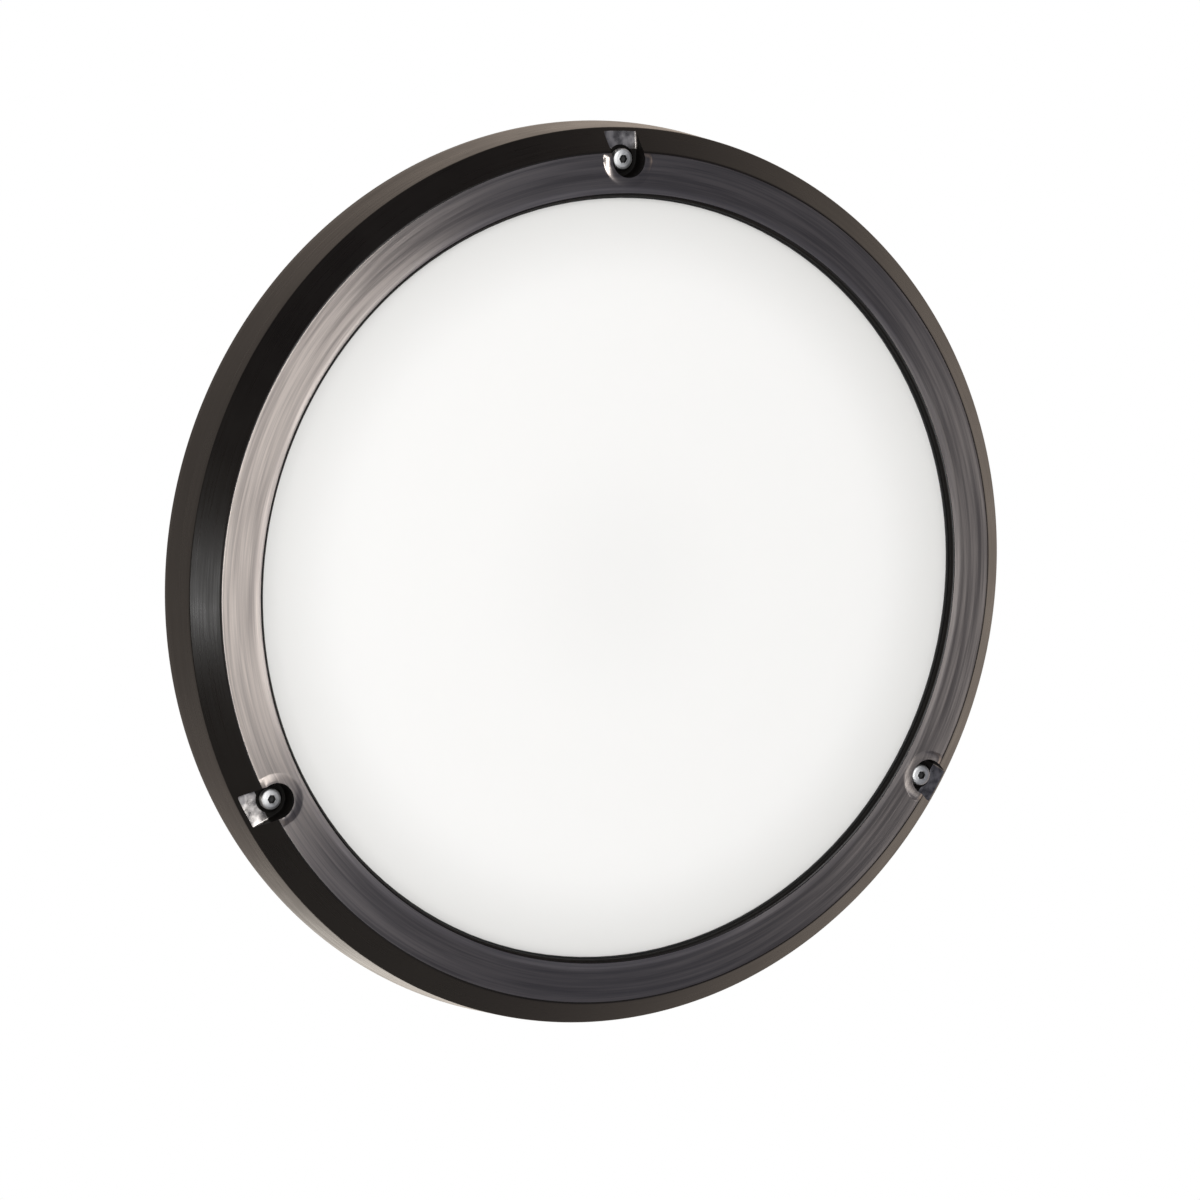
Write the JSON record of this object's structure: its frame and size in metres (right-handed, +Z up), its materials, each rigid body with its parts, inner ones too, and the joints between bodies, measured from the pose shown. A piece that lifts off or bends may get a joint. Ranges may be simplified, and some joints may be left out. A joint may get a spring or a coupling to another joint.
{
  "type": "bulkhead light",
  "caption": "Slim round bulkhead light: dark bronze cast bezel with screw notches clamping an opal diffuser over a ring-shaped light board in a sealed base pan.",
  "frame": {"origin": "on the lamp's axis, in the plane of the back that lies against the wall", "axes": "+Y into the wall along the lamp's axis, so the front faces -Y; +Z up through the top screw; +X to the right as seen from the front"},
  "size_m": [0.3024, 0.0275, 0.3024],
  "materials": {
    "bronze_finish": "dark bronze, satin, with a brushed face band",
    "bronze_casting": "dark bronze powder coat on a casting, satin",
    "opal_plastic": "opal white, satin",
    "stainless": "plain stainless, turned",
    "seal_rubber": "black, matt",
    "closed_foam": "dark grey closed-cell foam",
    "white_board": "white solder mask",
    "emitter_resin": "yellow resin in a white frame",
    "thermal_grey": "grey, soft",
    "zinc_steel": "zinc plated",
    "white_plastic": "white moulding",
    "white_enamel": "white enamel",
    "circuit_green": "green solder mask",
    "ferrite": "dark grey, matt",
    "capacitor_sleeve": "dark blue sleeve",
    "terminal_brass": "plain brass",
    "tinned_copper": "tinned",
    "brown_insulation": "brown, satin",
    "blue_insulation": "blue, satin",
    "earth_insulation": "green and yellow, satin",
    "red_insulation": "red, satin",
    "black_insulation": "black, satin"
  },
  "bodies": {
    "root": {"bezel": "bronze_finish", "base_pan": "bronze_casting", "diffuser": "opal_plastic", "bezel_screws": "stainless", "lens_gasket": "seal_rubber", "rim_seal": "seal_rubber", "screw_seals": "seal_rubber", "fixing_seals": "seal_rubber", "cable_grommet": "seal_rubber", "wall_gasket": "closed_foam", "led_board": "white_board", "led_emitters": "emitter_resin", "thermal_pad": "thermal_grey", "board_screws": "zinc_steel", "gear_cover_screws": "zinc_steel", "driver_screws": "zinc_steel", "terminal_fixing_screw": "zinc_steel", "led_connector": "white_plastic", "terminal_block": "white_plastic", "driver_case": "white_plastic", "driver_lid": "white_plastic", "gear_cover": "white_enamel", "driver_board": "circuit_green", "driver_transformer": "ferrite", "driver_capacitors": "capacitor_sleeve", "terminal_clamps": "terminal_brass", "terminal_screws": "terminal_brass", "earth_screw": "terminal_brass", "earth_terminal": "tinned_copper", "live_lead": "brown_insulation", "neutral_lead": "blue_insulation", "earth_lead": "earth_insulation", "led_positive_lead": "red_insulation", "led_negative_lead": "black_insulation"}
  },
  "joints": []
}
